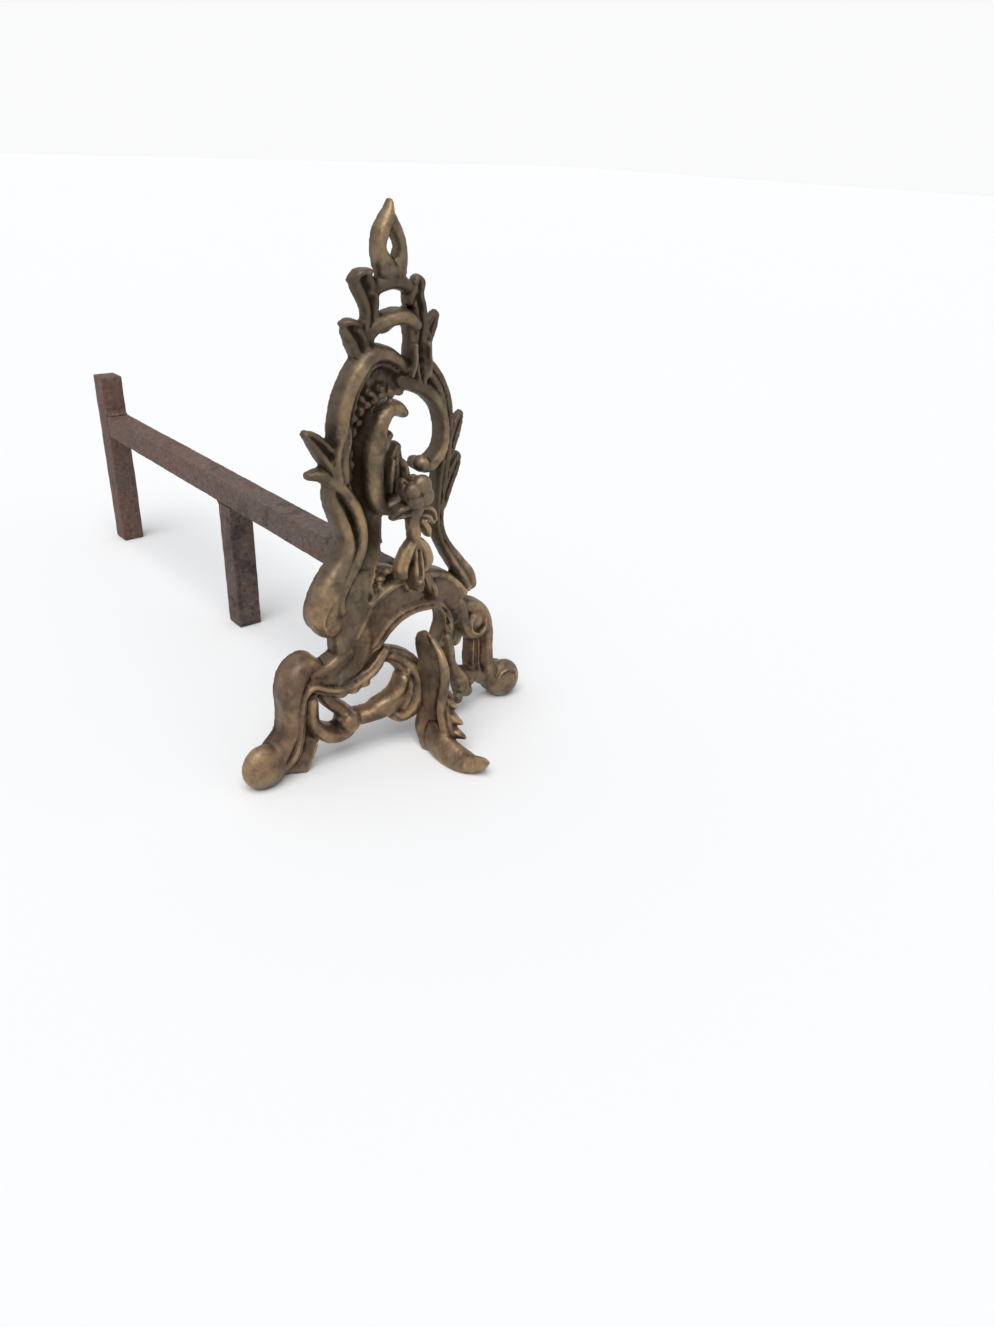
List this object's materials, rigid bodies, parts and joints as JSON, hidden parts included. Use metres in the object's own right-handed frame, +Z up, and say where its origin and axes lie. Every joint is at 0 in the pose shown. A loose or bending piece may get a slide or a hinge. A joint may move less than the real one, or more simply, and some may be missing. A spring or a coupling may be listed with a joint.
{
  "type": "andiron",
  "caption": "Fireplace andiron with an openwork rococo scroll front of cast brass, a leaf-shaped front leg and a square iron log bar on a rear post.",
  "frame": {"origin": "bottom centre of the bounding box, on the hearth", "axes": "+Y runs back along the log bar from the front casting to the rear post, +X is to the right seen from the front, +Z is up"},
  "size_m": [0.2272, 0.554, 0.3391],
  "materials": {
    "cast_brass": "aged, dark brown patina with rubbed gold-brown high points",
    "iron_bar": "rusty, mottled brown-red scale",
    "old_steel": "dull, oxidised"
  },
  "bodies": {
    "root": {"front_casting": "cast_brass", "front_leg": "cast_brass", "flower_drop": "cast_brass", "drop_rivet_1": "cast_brass", "drop_rivet_2": "cast_brass", "billet_bar": "iron_bar", "rear_post": "iron_bar", "mid_leg": "iron_bar", "post_weld_top": "iron_bar", "post_weld_bottom": "iron_bar", "leg_weld_front": "iron_bar", "leg_weld_rear": "iron_bar", "bar_bolt_1": "old_steel", "bar_washer_1": "old_steel", "bar_bolt_2": "old_steel", "bar_washer_2": "old_steel", "leg_screw_1": "old_steel", "leg_screw_2": "old_steel"}
  },
  "joints": []
}
